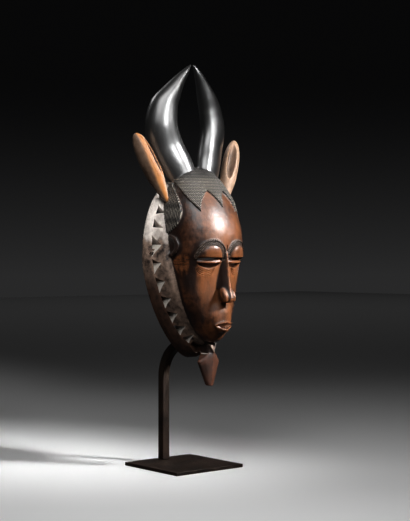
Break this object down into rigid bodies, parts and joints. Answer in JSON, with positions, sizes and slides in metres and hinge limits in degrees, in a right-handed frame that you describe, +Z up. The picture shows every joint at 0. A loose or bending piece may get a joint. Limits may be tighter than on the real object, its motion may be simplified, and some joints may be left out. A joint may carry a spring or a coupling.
{
  "type": "carved wooden mask on a stand",
  "caption": "Carved wooden face mask with horns meeting at the tips, upright animal ears, a saw-tooth pierced collar and a pointed beard, held by a bent square bar on a plate.",
  "frame": {"origin": "middle of the square plate's underside, on the floor", "axes": "+Z up, the face looks along -Y, +X to the viewer's right as seen from the front"},
  "size_m": [0.157, 0.139, 0.4766],
  "materials": {
    "steel": "satin",
    "wood": "satin"
  },
  "bodies": {
    "root": {"base_plate": "steel", "stand_post": "steel", "mask": "wood"}
  },
  "joints": []
}
